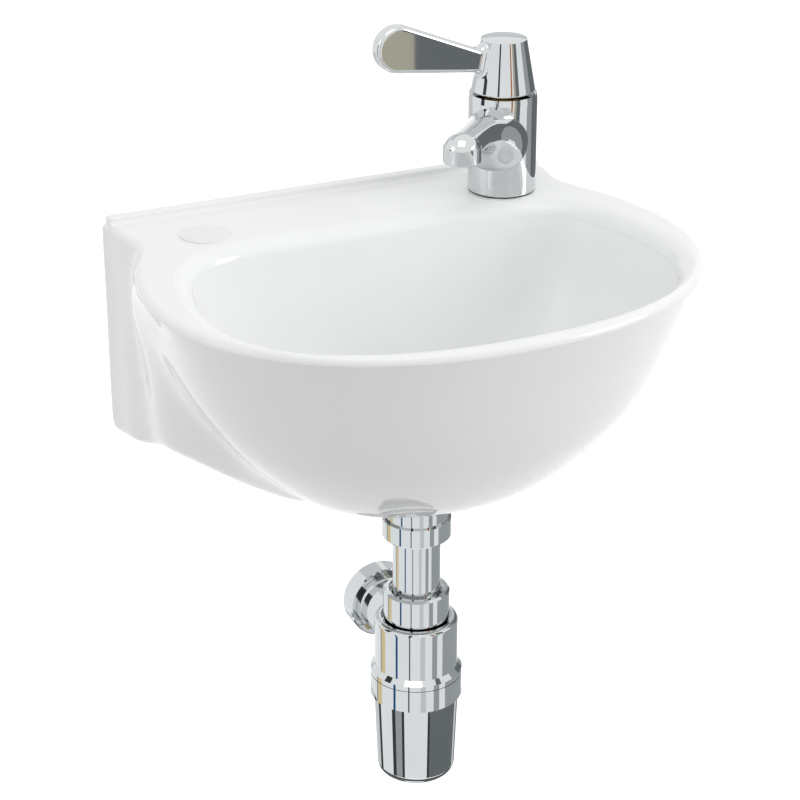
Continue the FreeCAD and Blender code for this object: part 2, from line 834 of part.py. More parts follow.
tap_seat = deck + S.foot_seal_thick
column_top = tap_seat + S.column_height
tail_end = deck - S.tail_length
chamber_floor = tap_seat + S.chamber_rise
chamber_top = chamber_floor + S.chamber_height
valve_bore = S.valve_radius + S.thread_gap
passage = tap_seat + S.passage_level
nozzle_shoulder = tap_seat + S.nozzle_shoulder
nozzle_top = nozzle_shoulder + S.nozzle_crown
spigot_foot = nozzle_shoulder - S.nozzle_spigot_length
collar_top = column_top + S.collar_height
hub_foot = collar_top + S.hub_gap
hub_top = hub_foot + S.hub_height


def heading(distance):
    """A place along the spout, out from the tap's axis."""
    angle = math.radians(SPOUT_HEADING)
    return (tap_x + distance * math.cos(angle), tap_y + distance * math.sin(angle))


NOZZLE = heading(S.spout_reach)


def spout_form():
    """The spout, wide and tall at its root and slimmer towards the nozzle."""
    wires = []
    run = S.spout_reach.value - S.spout_root_out.value
    for along, share in SPOUT_SHARES:
        out = S.spout_root_out.value + run * along
        wide = S.spout_root_wide.value + (S.spout_neck_wide.value - S.spout_root_wide.value) * share
        tall = S.spout_root_tall.value + (S.spout_neck_tall.value - S.spout_root_tall.value) * share
        rise = S.spout_root_level.value + (S.spout_neck_level.value - S.spout_root_level.value) * share
        centre = V(out, 0, rise)
        side, crown = centre + V(0, wide, 0), centre + V(0, 0, tall)
        oval = Part.Ellipse(side, crown, centre) if wide > tall else Part.Ellipse(crown, side, centre)
        wires.append(Part.Wire([oval.toShape()]))
    form = doc.addObject("Part::Feature", "spout_form")
    form.Shape = Part.makeLoft(wires, True, False)
    place(form, tap_x, tap_y, tap_seat, FreeCAD.Rotation(Z_AXIS, SPOUT_HEADING))
    return form


def make_tap_body():
    """The casting: column, tail, spout and nozzle, with its water way."""
    groove_foot = tail_end + S.tail_free_length
    groove_top = groove_foot + S.tail_groove_width
    column = turned("column_form", TAP, tail_end, [
        (NIL, tail_end),
        (S.tail_radius, tail_end),
        (S.tail_radius, groove_foot),
        (S.tail_groove_radius, groove_foot),
        (S.tail_groove_radius, groove_top),
        (S.tail_radius, groove_top),
        (S.tail_radius, tap_seat),
        (S.column_radius, tap_seat),
        (S.column_radius, column_top),
        (NIL, column_top),
    ], rounds=[(S.column_radius, tap_seat, S.column_foot_round)])
    nozzle = turned("nozzle_form", NOZZLE, spigot_foot, [
        (NIL, spigot_foot),
        (S.nozzle_spigot_radius, spigot_foot),
        (S.nozzle_spigot_radius, nozzle_shoulder),
        (S.nozzle_radius, nozzle_shoulder),
        (NIL, nozzle_top),
    ], domes=(3,))
    casting = joined("tap_casting", [column, spout_form(), nozzle])
    water_way = turned("tap_water_way", TAP, tail_end - S.overrun, [
        (NIL, tail_end - S.overrun),
        (S.tail_bore_radius, tail_end - S.overrun),
        (S.tail_bore_radius, chamber_floor),
        (S.chamber_radius, chamber_floor),
        (S.chamber_radius, chamber_top),
        (valve_bore, chamber_top),
        (valve_bore, column_top + S.overrun),
        (NIL, column_top + S.overrun),
    ])
    along = FreeCAD.Rotation(Z_AXIS, SPOUT_HEADING).multiply(SIDEWAYS)
    run = cylinder("spout_passage", tap_x, tap_y, passage, S.passage_radius, S.spout_reach, along)
    under_spout = spigot_foot - S.overrun
    room = nozzle_shoulder - under_spout
    clear = S.outlet_ring_radius + S.slip_gap
    skirt = cylinder("outlet_ring_room", *NOZZLE, under_spout, clear, room)
    spigot = cylinder("outlet_spigot", *NOZZLE, spigot_foot, S.nozzle_spigot_radius, S.nozzle_spigot_length)
    around = cut("outlet_ring_space", skirt, [spigot])
    mouth = cylinder(
        "nozzle_bore", *NOZZLE, under_spout, S.nozzle_bore_radius, room + S.nozzle_bore_rise,
    )
    return cut("tap_body", casting, [water_way, run, around, mouth])


def make_outlet():
    """The outlet ring with its flow straightener and washer."""
    foot = nozzle_shoulder - S.outlet_ring_height
    seat = foot + S.outlet_lip_thick
    straight_top = seat + S.straightener_thick
    bore = S.nozzle_spigot_radius + S.thread_gap
    outlet_ring = turned("outlet_ring", NOZZLE, foot, [
        (S.outlet_lip_radius, foot),
        (S.outlet_ring_radius, foot),
        (S.outlet_ring_radius, nozzle_shoulder),
        (bore, nozzle_shoulder),
        (bore, seat),
        (S.outlet_lip_radius, seat),
    ], rounds=[(S.outlet_ring_radius, foot, S.outlet_ring_round)])
    disc = cylinder("straightener_disc", *NOZZLE, seat, S.straightener_radius, S.straightener_thick)
    holes = [
        cylinder(
            "straightener_hole_0", *NOZZLE, seat - S.overrun, S.straightener_hole_radius,
            S.straightener_thick + S.overrun + S.overrun,
        )
    ]
    for i in range(STRAIGHTENER_HOLES):
        angle = 2 * math.pi * i / STRAIGHTENER_HOLES
        holes.append(cylinder(
            f"straightener_hole_{i + 1}",
            NOZZLE[0] + S.straightener_pitch_radius * math.cos(angle),
            NOZZLE[1] + S.straightener_pitch_radius * math.sin(angle),
            seat - S.overrun, S.straightener_hole_radius, S.straightener_thick + S.overrun + S.overrun,
        ))
    return [
        outlet_ring,
        cut("flow_straightener", disc, holes),
        ring("outlet_washer", NOZZLE, S.nozzle_bore_radius, S.straightener_radius, straight_top, spigot_foot),
    ]


def make_tap_fixing():
    """The seal under the tap's foot, and the washer and backnut below the deck."""
    bore = S.tail_radius + S.thread_gap
    washer_foot = under_deck - S.clamp_washer_thick
    return [
        ring("tap_foot_seal", TAP, bore, S.foot_seal_radius, deck, tap_seat),
        ring("tap_clamp_washer", TAP, bore, S.clamp_washer_radius, washer_foot, under_deck),
        hex_nut(
            "tap_backnut", TAP, washer_foot - S.tap_backnut_thick, S.tap_backnut_thick,
            S.tap_backnut_radius, bore,
        ),
    ]


# Quarter-turn valve

valve_foot = chamber_floor + S.valve_lift
fixed_foot = chamber_floor + S.seat_seal_thick
fixed_top = fixed_foot + S.disc_thick
moving_foot = fixed_top + S.disc_gap
moving_top = moving_foot + S.disc_thick
drive_top = moving_top + S.drive_height
pocket_top = drive_top + S.slip_gap
pocket_radius = S.disc_radius + S.slip_gap
flange_top = column_top + S.valve_flange_height
neck_top = flange_top + S.valve_neck_height
clip_foot = neck_top + S.clip_lift
clip_top = clip_foot + S.clip_thick
web_foot = clip_top + S.hub_web_lift
web_top = web_foot + S.hub_web_thick
spindle_bore = S.spindle_radius + S.spindle_gap
seal_outer = S.spindle_radius + S.seal_wire_radius + S.seal_wire_radius
seal_levels = [flange_top - S.seal_drop, flange_top - S.seal_drop - S.seal_spacing]


def ported_disc(label, foot):
    """A ceramic disc with two round ports."""
    blank = cylinder(f"{label}_blank", *TAP, foot, S.disc_radius, S.disc_thick)
    ports = []
    for side, offset in (("front", -S.disc_port_offset), ("rear", S.disc_port_offset)):
        ports.append(cylinder(
            f"{label}_{side}_port", tap_x, tap_y + offset, foot - S.overrun, S.disc_port_radius,
            S.disc_thick + S.overrun + S.overrun,
        ))
    return cut(label, blank, ports)


def make_valve_body():
    """The brass valve body: disc pocket, side ports, flange, neck and two seal grooves in its bore."""
    groove = seal_outer + S.slip_gap
    profile = [
        (pocket_radius, valve_foot),
        (S.valve_radius, valve_foot),
        (S.valve_radius, column_top),
        (S.valve_flange_radius, column_top),
        (S.valve_flange_radius, flange_top),
        (S.valve_neck_radius, flange_top),
        (S.valve_neck_radius, neck_top),
        (spindle_bore, neck_top),
    ]
    for level in seal_levels:
        high = level + S.seal_wire_radius + S.slip_gap
        low = level - S.seal_wire_radius - S.slip_gap
        profile += [(spindle_bore, high), (groove, high), (groove, low), (spindle_bore, low)]
    profile += [(spindle_bore, pocket_top), (pocket_radius, pocket_top)]
    blank = turned("valve_blank", TAP, valve_foot, profile)
    reach = S.valve_radius + S.overrun
    port_level = moving_top + S.drive_height.half()
    port = cylinder(
        "valve_ports", tap_x - reach, tap_y, port_level, S.valve_port_radius, reach + reach, SIDEWAYS,
    )
    return cut("valve_body", blank, [port])


def make_spindle():
    """The valve spindle with its drive, clip groove and screw hole."""
    groove = S.spindle_radius - S.clip_depth
    screw_bore = S.screw_radius + S.thread_gap
    screw_end = web_top - S.screw_length - S.slip_gap
    return turned("valve_spindle", TAP, moving_top, [
        (NIL, moving_top),
        (S.drive_radius, moving_top),
        (S.drive_radius, drive_top),
        (S.spindle_radius, drive_top),
        (S.spindle_radius, clip_foot),
        (groove, clip_foot),
        (groove, clip_top),
        (S.spindle_radius, clip_top),
        (S.spindle_radius, web_top),
        (screw_bore, web_top),
        (screw_bore, screw_end),
        (NIL, screw_end),
    ])


def make_spindle_seals():
    """Two rubber rings round the spindle."""
    rings = []
    for i, level in enumerate(seal_levels):
        torus = doc.addObject("Part::Torus", f"spindle_seal_{i}")
        bind(torus, "Radius1", S.spindle_radius + S.seal_wire_radius)
        bind(torus, "Radius2", S.seal_wire_radius)
        place(torus, tap_x, tap_y, level)
        rings.append(torus)
    pair = doc.addObject("Part::Compound", "spindle_seals")
    pair.Links = rings
    pair.Label = "spindle_seals"
    return pair


def make_clip():
    """The open spring clip that keeps the spindle in the neck."""
    inner = S.spindle_radius - S.clip_depth
    whole = ring("clip_blank", TAP, inner, S.clip_radius, clip_foot, clip_top)
    mouth = box(
        "clip_mouth_cut", tap_x - S.clip_mouth.half(), tap_y, clip_foot - S.overrun,
        S.clip_mouth, S.clip_radius + S.overrun, S.clip_thick + S.overrun + S.overrun,
    )
    return cut("spindle_clip", whole, [mouth])


def make_valve():
    """Every piece of the quarter-turn valve."""
    return [
        ring("valve_seat_seal", TAP, S.tail_bore_radius, S.seat_seal_radius, chamber_floor, fixed_foot),
        ported_disc("fixed_ceramic_disc", fixed_foot),
        ported_disc("moving_ceramic_disc", moving_foot),
        make_valve_body(),
        make_spindle(),
        make_spindle_seals(),
        make_clip(),
    ]


# Lever, screw and cap

def paddle_sketch(body):
    """The paddle's side view: a straight top and foot, tangent to a round end."""
    sketch = new_sketch(body, "paddle_side", "XZ_Plane")
    root_top = V(S.paddle_root_out.value, S.paddle_root_top.value, 0)
    root_foot = V(S.paddle_root_out.value, S.paddle_root_foot.value, 0)
    centre = V(S.paddle_end_out.value, S.paddle_end_level.value, 0)
    radius = S.paddle_end_radius.value

    def touch(point, side):
        gap = centre - point
        angle = math.atan2(gap.y, gap.x) + side * (math.pi / 2 + math.asin(radius / gap.Length))
        return V(centre.x + radius * math.cos(angle), centre.y + radius * math.sin(angle), 0), angle

    high, high_angle = touch(root_top, 1)
    low, low_angle = touch(root_foot, -1)
    sketch.addGeometry(Part.LineSegment(root_foot, root_top))
    sketch.addGeometry(Part.LineSegment(root_top, high))
    sketch.addGeometry(Part.ArcOfCircle(Part.Circle(centre, Z_AXIS, radius), low_angle, high_angle))
    sketch.addGeometry(Part.LineSegment(low, root_foot))
    pin(sketch, 0, 1, S.paddle_root_out, S.paddle_root_foot)
    pin(sketch, 0, 2, S.paddle_root_out, S.paddle_root_top)
    pin(sketch, 2, 3, S.paddle_end_out, S.paddle_end_level)
    index = sketch.addConstraint(Sketcher.Constraint("Radius", 2, radius))
    bind(sketch, f"Constraints[{index}]", S.paddle_end_radius)
    sketch.addConstraint(Sketcher.Constraint("Coincident", 0, 2, 1, 1))
    sketch.addConstraint(Sketcher.Constraint("Coincident", 3, 2, 0, 1))
    sketch.addConstraint(Sketcher.Constraint("Tangent", 1, 2, 2, 2))
    sketch.addConstraint(Sketcher.Constraint("Tangent", 2, 1, 3, 1))
    return sketch


def make_lever():
    """The hollow conical hub with its paddle, which points along the wall when the tap is shut."""
    body = new_body("lever_handle")
    pad = body.newObject("PartDesign::Pad", "paddle_pad")
    pad.Profile = paddle_sketch(body)
    pad.SideType = "Symmetric"
    bind(pad, "Length", S.paddle_thick)
    half = S.paddle_thick.half().value

    def on_side(edge):
        span = edge.BoundBox
        flat = span.YLength < NEAR and abs(abs(span.YMin) - half) < NEAR
        return flat and span.XLength > S.paddle_round.value

    round_edges(body, "paddle_rounds", S.paddle_round, on_side)
    hub = new_sketch(body, "hub_profile", "XZ_Plane")
    web_low = web_foot - hub_foot
    web_high = web_top - hub_foot
    bore = S.spindle_radius + S.spindle_gap
    cone = [
        (S.hub_hollow_radius, NIL),
        (S.hub_foot_radius, NIL),
        (S.hub_top_radius, S.hub_height),
        (S.hub_well_radius, S.hub_height),
        (S.hub_well_radius, web_high),
        (bore, web_high),
        (bore, web_low),
        (S.hub_hollow_radius, web_low),
    ]
    closed_outline(hub, cone)
    turn = body.newObject("PartDesign::Revolution", "hub_turn")
    turn.Profile = hub
    turn.ReferenceAxis = (hub, ["V_Axis"])
    doc.recompute()

    def on_foot(edge):
        curve = edge.Curve
        if not isinstance(curve, Part.Circle):
            return False
        return abs(curve.Radius - S.hub_foot_radius.value) < NEAR and abs(curve.Center.z) < NEAR

    round_edges(body, "hub_foot_round", S.hub_foot_round, on_foot)

    def at_root(edge):
        middle = edge.valueAt((edge.FirstParameter + edge.LastParameter) / 2)
        drop = (S.hub_foot_radius - S.hub_top_radius).value * middle.z / S.hub_height.value
        on_cone = abs(math.hypot(middle.x, middle.y) - S.hub_foot_radius.value + drop) < NEAR
        return on_cone and middle.x > 0 and not math.isclose(middle.y, 0, abs_tol=NEAR)

    round_edges(body, "paddle_blend", S.paddle_blend, at_root)
    place(body, tap_x, tap_y, hub_foot, HALF_TURN)
    return body


def make_handle():
    """The collar under the hub, the lever, its screw and its cap."""
    collar_bore = S.valve_flange_radius + S.slip_gap
    collar = turned("tap_collar_ring", TAP, column_top, [
        (collar_bore, column_top),
        (S.column_radius, column_top),
        (S.column_radius - S.collar_taper, collar_top),
        (collar_bore, collar_top),
    ])
    screw_end = web_top - S.screw_length
    head_top = web_top + S.screw_head_thick
    screw = turned("handle_screw", TAP, screw_end, [
        (NIL, screw_end),
        (S.screw_radius, screw_end),
        (S.screw_radius, web_top),
        (S.screw_head_radius, web_top),
        (S.screw_head_radius, head_top),
        (NIL, head_top),
    ])
    plug_foot = hub_top - S.cap_plug_length
    plug_radius = S.hub_well_radius - S.thread_gap
    cap = turned("handle_cap", TAP, plug_foot, [
        (NIL, plug_foot),
        (plug_radius, plug_foot),
        (plug_radius, hub_top),
        (S.hub_top_radius, hub_top),
        (S.hub_top_radius, hub_top + S.cap_edge),
        (NIL, hub_top + S.cap_edge + S.cap_crown),
    ], domes=(4,))
    return [collar, make_lever(), screw, cap]


# Waste

waste_foot = bowl_floor - S.waste_tail_length
flange_foot = bowl_floor - S.waste_flange_thick


def make_waste_fitting():
    """The flanged waste with its grid of holes and threaded tail."""
    blank = turned("waste_blank", WASTE, waste_foot, [
        (S.waste_tail_bore, waste_foot),
        (S.waste_tail_radius, waste_foot),
        (S.waste_tail_radius, flange_foot),
        (S.waste_flange_radius, flange_foot),
        (S.waste_flange_radius, bowl_floor),
        (NIL, bowl_floor),
        (NIL, flange_foot),
        (S.waste_tail_bore, flange_foot),
    ])
    height = S.waste_flange_thick + S.overrun + S.overrun
    foot = flange_foot - S.overrun
    holes = [cylinder("grid_hole_0", *WASTE, foot, S.waste_slot_radius, height)]
    for i in range(WASTE_SLOTS):
        angle = 2 * math.pi * i / WASTE_SLOTS
        holes.append(cylinder(
            f"grid_hole_{i + 1}", S.waste_slot_pitch * math.cos(angle),
            waste_y + S.waste_slot_pitch * math.sin(angle), foot, S.waste_slot_radius, height,
        ))
    return cut("waste_fitting", blank, holes)


def make_waste():
    """The waste, its two seals and its backnut."""
    bore = S.waste_tail_radius + S.thread_gap
    nut_top = bed_foot - S.waste_lower_seal_thick
    return [
        make_waste_fitting(),
        ring("waste_upper_seal", WASTE, bore, S.waste_flange_radius, bed_top, flange_foot),
        ring("waste_lower_seal", WASTE, bore, S.waste_lower_seal_radius, nut_top, bed_foot),
        hex_nut(
            "waste_backnut", WASTE, nut_top - S.waste_backnut_thick, S.waste_backnut_thick,
            S.waste_backnut_radius, bore,
        ),
    ]


# Trap inlet

tube_top = waste_foot - S.inlet_seal_thick
tube_flange_foot = tube_top - S.tube_flange_thick
tube_foot = tube_top - S.tube_length
tube_bore = S.tube_radius - S.tube_wall
tube_clear = S.tube_radius + S.slip_gap


def make_inlet():
    """The union nut on the waste tail, its seal and the dip tube."""
    nut_foot = tube_flange_foot - S.inlet_nut_lip
    nut_top = waste_foot + S.inlet_nut_grip
    thread = S.waste_tail_radius + S.thread_gap
    nut = turned("trap_inlet_nut", WASTE, nut_foot, [
        (tube_clear, nut_foot),
        (S.inlet_nut_radius - S.nut_chamfer, nut_foot),
        (S.inlet_nut_radius, nut_foot + S.nut_chamfer),
        (S.inlet_nut_radius, nut_top),
        (thread, nut_top),
        (thread, tube_flange_foot),
        (tube_clear, tube_flange_foot),
    ])
    tube = turned("trap_inlet_tube", WASTE, tube_foot, [
        (tube_bore, tube_foot),
        (S.tube_radius, tube_foot),
        (S.tube_radius, tube_flange_foot),
        (S.tube_flange_radius, tube_flange_foot),
        (S.tube_flange_radius, tube_top),
        (tube_bore, tube_top),
    ])
    seal = ring("trap_inlet_seal", WASTE, S.tube_radius, S.waste_tail_radius, tube_top, waste_foot)
    return [nut, seal, tube]


# Trap body and side outlet

neck_top_level = waste_foot - S.neck_drop
top_seal_top = neck_top_level + S.top_seal_thick
lip_top = neck_top_level - S.body_lip_drop
recess_floor = neck_top_level - S.body_recess_drop
roof = recess_floor - S.body_roof
body_foot = neck_top_level - S.body_drop
flange_high = body_foot - S.body_cove
skirt_top = flange_high - S.body_flange_thick
skirt_foot = skirt_top - S.skirt_length
outlet_level = neck_top_level - S.outlet_drop
OUTLET = (NIL, waste_y, outlet_level)


def make_trap_body():
    """The upper half of the bottle trap: neck, recess, barrel, flange, skirt and side outlet."""
    barrel = turned("trap_barrel", WASTE, skirt_foot, [
        (NIL, skirt_foot),
        (S.skirt_radius, skirt_foot),
        (S.skirt_radius, skirt_top),
        (S.body_flange_radius, skirt_top),
        (S.body_flange_radius, flange_high),
        (S.body_radius, body_foot),
        (S.body_radius, lip_top),
        (S.body_recess_radius, lip_top),
        (S.body_recess_radius, recess_floor),
        (S.neck_radius, recess_floor),
        (S.neck_radius, neck_top_level),
        (NIL, neck_top_level),
    ], rounds=[(S.body_radius, lip_top, S.body_lip_round)])
    stub = turned("trap_stub", OUTLET, S.stub_start, [
        (NIL, S.stub_start),
        (S.stub_radius, S.stub_start),
        (S.stub_radius, S.stub_thread_start),
        (S.stub_thread_radius, S.stub_thread_start),
        (S.stub_thread_radius, S.stub_end),
        (NIL, S.stub_end),
    ], rotation=ALONG_WALL)
    shell = joined("trap_shell", [barrel, stub])
    bore = turned("trap_bore", WASTE, skirt_foot - S.overrun, [
        (NIL, skirt_foot - S.overrun),
        (S.body_bore_radius, skirt_foot - S.overrun),
        (S.body_bore_radius, roof),
        (tube_clear, roof),
        (tube_clear, neck_top_level + S.overrun),
        (NIL, neck_top_level + S.overrun),
    ])
    window = cylinder(
        "outlet_window", NIL, waste_y + tube_clear, outlet_level, S.outlet_window_radius,
        S.stub_bore_start - tube_clear, ALONG_WALL,
    )
    outlet = turned("outlet_bore", OUTLET, S.stub_bore_start, [
        (NIL, S.stub_bore_start),
        (S.stub_bore_radius, S.stub_bore_start),
        (S.stub_bore_radius, S.socket_start),
        (S.socket_radius, S.socket_start),
        (S.socket_radius, S.stub_end + S.overrun),
        (NIL, S.stub_end + S.overrun),
    ], rotation=ALONG_WALL)
    return cut("trap_body", shell, [bore, window, outlet])


def make_top_joint():
    """The compression nut and seal where the dip tube enters the trap."""
    thread = S.neck_radius + S.thread_gap
    nut_foot = neck_top_level - S.top_nut_grip
    nut_top = top_seal_top + S.top_nut_lip
    nut = turned("trap_top_nut", WASTE, nut_foot, [
        (thread, nut_foot),
        (S.top_nut_radius, nut_foot),
        (S.top_nut_radius, nut_top - S.nut_chamfer),
        (S.top_nut_radius - S.nut_chamfer, nut_top),
        (tube_clear + S.top_nut_sink, nut_top),
        (tube_clear, nut_top - S.top_nut_sink),
        (tube_clear, top_seal_top),
        (thread, top_seal_top),
    ])
    return [nut, ring("trap_top_seal", WASTE, S.tube_radius, S.neck_radius, neck_top_level, top_seal_top)]


def make_outlet_joint():
    """The compression nut and seal of the side outlet."""
    lip = S.stub_end + S.outlet_seal_thick
    end = lip + S.outlet_nut_lip
    thread = S.stub_thread_radius + S.thread_gap
    mouth = S.socket_radius + S.slip_gap
    nut = turned("trap_outlet_nut", OUTLET, S.outlet_nut_start, [
        (thread, S.outlet_nut_start),
        (S.outlet_nut_radius - S.outlet_nut_chamfer, S.outlet_nut_start),
        (S.outlet_nut_radius, S.outlet_nut_start + S.outlet_nut_chamfer),
        (S.outlet_nut_radius, end),
        (mouth, end),
        (mouth, lip),
        (thread, lip),
    ], rotation=ALONG_WALL)
    seal = turned("trap_outlet_seal", OUTLET, S.stub_end, [
        (S.socket_radius, S.stub_end),
        (S.outlet_seal_radius, S.stub_end),
        (S.outlet_seal_radius, lip),
        (S.socket_radius, lip),
    ], rotation=ALONG_WALL)
    return [nut, seal]


# Trap bottle

bottle_top = skirt_foot - S.bottle_seal_thick - S.slip_gap
bottle_shoulder = bottle_top - S.bottle_flange_thick
bottle_foot = bottle_top - S.bottle_height


def make_bottle():
    """The bottle, its seal and the collar that clamps it to the skirt."""
    inner_foot = bottle_foot + S.bottle_wall
    foot_bore = S.bottle_foot_radius - S.bottle_wall
    bottle = turned("trap_bottle", WASTE, bottle_foot, [
        (NIL, bottle_foot),
        (S.bottle_foot_radius, bottle_foot),
        (S.bottle_top_radius, bottle_shoulder),
        (S.skirt_radius, bottle_shoulder),
        (S.skirt_radius, bottle_top),
        (S.bottle_top_radius - S.bottle_wall, bottle_top),
        (foot_bore, inner_foot),
        (NIL, inner_foot),
    ], rounds=[
        (S.bottle_foot_radius, bottle_foot, S.bottle_round),
        (foot_bore, inner_foot, S.bottle_round - S.bottle_wall),
    ])
    collar_bore = S.skirt_radius + S.slip_gap
    collar_top_level = skirt_top - S.trap_collar_gap
    collar_foot = bottle_shoulder - S.trap_collar_lip
    collar = turned("trap_collar_ring", WASTE, collar_foot, [
        (S.bottle_top_radius + S.slip_gap, collar_foot),
        (S.trap_collar_radius, collar_foot),
        (S.trap_collar_radius, collar_top_level),
        (collar_bore, collar_top_level),
        (collar_bore, bottle_shoulder),
        (S.bottle_top_radius + S.slip_gap, bottle_shoulder),
    ])
    seal_foot = skirt_foot - S.bottle_seal_thick
    seal = ring("trap_bottle_seal", WASTE, S.body_bore_radius, S.skirt_radius, seal_foot, skirt_foot)
    return [bottle, collar, seal]


NODES = [
    make_basin(),
    *make_stopper(),
    make_tap_body(),
    *make_tap_fixing(),
    *make_outlet(),
    *make_valve(),
    *make_handle(),
    *make_waste(),
    *make_inlet(),
    make_trap_body(),
    *make_top_joint(),
    *make_outlet_joint(),
    *make_bottle(),
]
doc.recompute()

for thing in doc.Objects:
    if "Invalid" in thing.State or "Error" in thing.State:
        raise RuntimeError(f"{thing.Label}: {thing.State}")
for node in NODES:
    if node.Shape.isNull() or not node.Shape.isValid():
        raise RuntimeError(f"{node.Label}: its shape is not valid")

os.makedirs("parts", exist_ok=True)
for node in NODES:
    node.Shape.exportStep(f"parts/{node.Label}.step")
    print(f"{node.Label}: {node.Shape.Volume:.0f} mm3, {len(node.Shape.Solids)} solid(s)")
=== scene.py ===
import logging
import math
from dataclasses import dataclass
from enum import Enum

import bpy
from mathutils import Matrix, Vector

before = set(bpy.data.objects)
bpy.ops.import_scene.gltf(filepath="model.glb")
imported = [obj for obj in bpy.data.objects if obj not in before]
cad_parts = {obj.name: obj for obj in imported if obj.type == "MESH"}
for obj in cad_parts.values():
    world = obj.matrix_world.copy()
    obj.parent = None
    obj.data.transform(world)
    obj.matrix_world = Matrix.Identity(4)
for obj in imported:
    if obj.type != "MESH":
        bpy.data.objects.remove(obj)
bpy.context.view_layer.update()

NODES: dict[str, bpy.types.Object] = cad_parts
MM = 0.001
WHITE = "#FFFFFF"
# Degrees of heading that one flat face of a curved screen takes
FACE_DEGREES = 6
log = logging.getLogger("finger_rinse_basin")


class Tone(Enum):
    """The greys and tints of a studio that chrome mirrors."""

    PALE = "#E4E6E7"
    ASH = "#C6C8C9"
    STEEL = "#989C9D"
    SLATE = "#666A6C"
    CHARCOAL = "#38393B"
    BEIGE = "#D6C296"
    STONE = "#ABA797"
    TAN = "#A8642A"
    BLUE = "#1F4E79"


class Band(Enum):
    """The heights, foot and top in metres, between which each piece of chrome mirrors the studio."""

    TAP = (-0.2, 0.3)
    TRAP = (-0.56, -0.2)
    BOTTLE = (-0.75, -0.56)
    GROUND = (-0.75, -0.475)
    BELOW = (-0.75, -0.42)


def linear(code: str) -> tuple[float, float, float, float]:
    """Turn an sRGB hex colour into linear light.

    Args:
        code: Six hex digits after a hash sign.

    Returns:
        Red, green, blue and alpha.
    """
    parts = [int(code[i:i + 2], 16) / 255 for i in (1, 3, 5)]
    light = [part / 12.92 if part <= 0.04045 else ((part + 0.055) / 1.055) ** 2.4 for part in parts]
    return light[0], light[1], light[2], 1.0


def blank_tree(owner: bpy.types.Material | bpy.types.World) -> bpy.types.NodeTree:
    """Give a material or the world an empty node tree.

    Args:
        owner: The material or the world.

    Returns:
        Its tree, without nodes.
    """
    owner.use_nodes = True
    owner.node_tree.nodes.clear()
    return owner.node_tree


def add_node(tree: bpy.types.NodeTree, kind: str, settings: dict | None = None,
             links: dict | None = None) -> bpy.types.Node:
    """Add one node to a tree.

    Args:
        tree: The tree of a material or of the world.
        kind: The node's type.
        settings: Values by socket, or by property where the node has no such socket.
        links: Output sockets by the name or number of the input that they feed.

    Returns:
        The new node.
    """
    node = tree.nodes.new(kind)
    for key, value in (settings or {}).items():
        if isinstance(key, int) or key in node.inputs:
            node.inputs[key].default_value = value
        else:
            setattr(node, key, value)
    for key, source in (links or {}).items():
        tree.links.new(source, node.inputs[key])
    return node


@dataclass(frozen=True)
class Finish:
    """A finish: two close colours, a grain in millimetres, and how rough and lumpy the surface is."""

    name: str
    colour: str
    shade: str
    grain_mm: float
    roughness: tuple[float, float]
    bump_mm: float
    bump_grain_mm: float
    metallic: float = 0.0

    def material(self) -> bpy.types.Material:
        """Make the material.

        Returns:
            A node material whose colour, roughness and bump follow the grain.
        """
        made = bpy.data.materials.new(self.name)
        tree = blank_tree(made)
        place = add_node(tree, "ShaderNodeTexCoord").outputs["Object"]
        grain = add_node(
            tree, "ShaderNodeTexNoise", {"Scale": 1 / (self.grain_mm * MM), "Detail": 3.0}, {"Vector": place},
        ).outputs["Fac"]
        lumps = add_node(
            tree, "ShaderNodeTexNoise", {"Scale": 1 / (self.bump_grain_mm * MM), "Detail": 1.0},
            {"Vector": place},
        ).outputs["Fac"]
        colour = add_node(
            tree, "ShaderNodeMix", {"data_type": "RGBA", 6: linear(self.shade), 7: linear(self.colour)},
            {0: grain},
        ).outputs[2]
        rough = add_node(
            tree, "ShaderNodeMapRange", {"To Min": self.roughness[0], "To Max": self.roughness[1]},
            {"Value": grain},
        ).outputs["Result"]
        bump = add_node(
            tree, "ShaderNodeBump", {"Strength": 1.0, "Distance": self.bump_mm * MM}, {"Height": lumps},
        ).outputs["Normal"]
        shader = add_node(
            tree, "ShaderNodeBsdfPrincipled", {"Metallic": self.metallic},
            {"Base Color": colour, "Roughness": rough, "Normal": bump},
        )
        add_node(tree, "ShaderNodeOutputMaterial", links={"Surface": shader.outputs["BSDF"]})
        return made


# Vitreous china, slip-cast and glazed: a cool white with a wet gloss, faintly uneven like orange peel
GLAZED_CHINA = Finish("vitreous_china_glazed", "#F6F7F7", "#F3F4F4", 40.0, (0.05, 0.09), 0.02, 9.0)
# ABS, moulded to match the china: the same cool white, a little less glossy
MOULDED_ABS = Finish("abs_moulded_white", "#F0F1F1", "#EBECEC", 6.0, (0.14, 0.22), 0.01, 2.0)
# Brass, polished and chrome plated: a cool mirror with the faint waviness of hand polishing
CHROME_PLATE = Finish("brass_chrome_plated", "#DCDEDF", "#D3D6D7", 25.0, (0.025, 0.05), 0.004, 12.0, 1.0)
# Brass, turned and left bare: yellow, with fine tool marks and dull patches
TURNED_BRASS = Finish("brass_turned", "#C9A15A", "#B08A48", 3.0, (0.22, 0.38), 0.01, 0.8, 1.0)
# Stainless steel, turned or pressed: grey with a satin bloom
TURNED_STEEL = Finish("stainless_steel_turned", "#B9BABA", "#A6A7A8", 2.0, (0.24, 0.36), 0.008, 0.6, 1.0)
# Alumina, lapped flat: creamy white with a fine satin surface
LAPPED_ALUMINA = Finish("alumina_lapped", "#EEE9DF", "#E3DDD1", 1.5, (0.25, 0.35), 0.004, 0.5)
